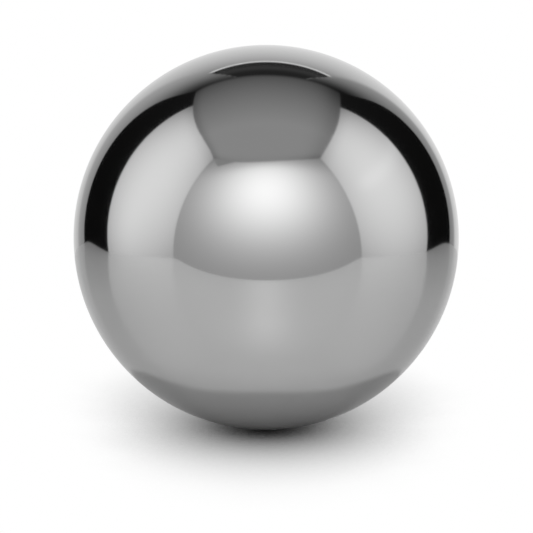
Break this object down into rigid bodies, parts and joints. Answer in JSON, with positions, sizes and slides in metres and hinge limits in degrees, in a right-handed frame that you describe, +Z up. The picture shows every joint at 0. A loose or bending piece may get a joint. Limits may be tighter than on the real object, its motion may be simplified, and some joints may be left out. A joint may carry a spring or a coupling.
{
  "type": "steel ball",
  "caption": "Loose solid steel ball, a plain sphere polished all over to a mirror finish.",
  "frame": {"origin": "centre of the ball", "axes": "+Z up, away from what holds the ball; every axis through the centre is alike"},
  "size_m": [0.05, 0.05, 0.05],
  "materials": {
    "polished_steel": "polished"
  },
  "bodies": {
    "root": {"ball": "polished_steel"}
  },
  "joints": []
}
